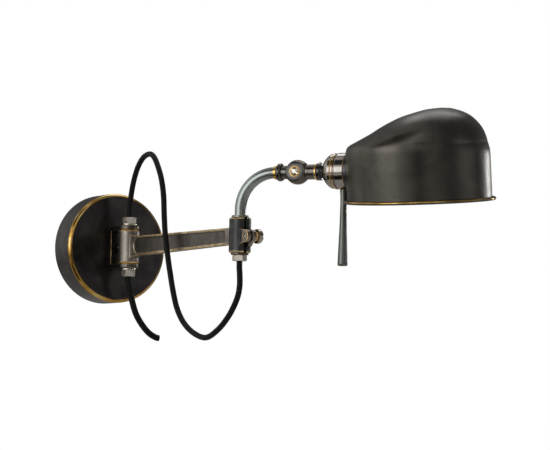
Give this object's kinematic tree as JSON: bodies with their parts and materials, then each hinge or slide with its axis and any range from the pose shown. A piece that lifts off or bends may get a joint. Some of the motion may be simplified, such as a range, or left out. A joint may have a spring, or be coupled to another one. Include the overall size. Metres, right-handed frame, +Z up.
{
  "type": "picture light",
  "caption": "Swing-arm picture light: round wall plate, clevis hinge, cast arm, split clamp, bent tube, friction knuckle and hooded downward reflector with a hanging handle.",
  "frame": {"origin": "middle of the flat back of the mounting crossbar, on the wall plane", "axes": "+Y into the wall, +Z up, the arm points along -Y at rest"},
  "size_m": [0.2634, 0.5478, 0.2422],
  "materials": {
    "dark_bronze": "satin dark patina",
    "worn_cast_bronze": "satin patina rubbed on the edges",
    "bearing_bronze": "satin",
    "rubbed_brass": "polished",
    "antique_brass": "satin aged",
    "old_nickel": "worn polish",
    "plain_steel": "satin",
    "zinc_plated_steel": "satin plated",
    "gunmetal": "satin",
    "black_lacquer": "gloss",
    "black_braided_cord": "woven braid",
    "black_phenolic": "moulded satin",
    "frosted_glass": "frosted"
  },
  "bodies": {
    "wall_side": {"mounting_crossbar": "zinc_plated_steel", "backplate_canopy": "dark_bronze", "hinge_bracket": "worn_cast_bronze", "bracket_bolt": "plain_steel", "bracket_bolt_washer": "plain_steel", "hinge_pin": "plain_steel", "hinge_collar_upper": "antique_brass", "hinge_collar_lower": "antique_brass", "hinge_nut_upper": "old_nickel", "hinge_nut_lower": "old_nickel", "cord_tail": "black_braided_cord"},
    "arm": {"arm_casting": "worn_cast_bronze", "hinge_bush": "bearing_bronze", "thrust_washer_upper": "bearing_bronze", "thrust_washer_lower": "bearing_bronze", "clamp_screw_washer": "antique_brass", "cord_loop": "black_braided_cord"},
    "clamp_knob": {"clamp_screw": "antique_brass"},
    "tube": {"gooseneck_tube": "gunmetal", "tube_top_ring": "gunmetal", "tube_nipple": "plain_steel", "tube_washer": "antique_brass", "tube_gland_nut": "old_nickel", "tube_ferrule": "rubbed_brass", "tube_collar": "dark_bronze", "tube_collar_grub_screw": "antique_brass", "knuckle_near_half": "worn_cast_bronze", "knuckle_screw": "old_nickel", "knuckle_nut": "old_nickel", "lamp_lead_tube": "black_braided_cord"},
    "tilt_stem": {"knuckle_far_half": "worn_cast_bronze", "stem_ring": "rubbed_brass", "swivel_collar": "black_lacquer", "swivel_set_screw": "antique_brass"},
    "head": {"socket_neck": "gunmetal", "socket_cap": "worn_cast_bronze", "socket_band": "worn_cast_bronze", "handle_rod": "gunmetal", "shade_holder": "gunmetal", "holder_ring_nut": "antique_brass", "shade": "dark_bronze", "lampholder_body": "black_phenolic", "lampholder_screw_shell": "rubbed_brass", "lampholder_contact": "rubbed_brass", "lamp_cap": "old_nickel", "lamp_tip": "black_phenolic", "lamp_glass": "frosted_glass", "lamp_filament_mount": "frosted_glass", "lamp_lead_socket": "black_braided_cord"}
  },
  "joints": [
    {"name": "arm_swing", "type": "hinge", "parent": "wall_side", "child": "arm", "pos_m": [0, -0.0625, 0], "axis": [0, 0, 1], "range_deg": [-85, 85]},
    {"name": "clamp_screw_turn", "type": "hinge", "parent": "arm", "child": "clamp_knob", "pos_m": [0, -0.328, -0.0015], "axis": [1, 0, 0], "range_deg": [-90, 90]},
    {"name": "tube_swivel", "type": "hinge", "parent": "arm", "child": "tube", "pos_m": [0, -0.3095, 0], "axis": [0, 0, 1], "range_deg": [-145, 90]},
    {"name": "knuckle_tilt", "type": "hinge", "parent": "tube", "child": "tilt_stem", "pos_m": [0.03821, -0.36209, 0.0665], "axis": [-0.809, -0.5878, 0], "range_deg": [-45, 75]},
    {"name": "shade_roll", "type": "hinge", "parent": "tilt_stem", "child": "head", "pos_m": [0.05173, -0.38069, 0.0665], "axis": [0.5878, -0.809, 0], "range_deg": [-90, 90]}
  ]
}
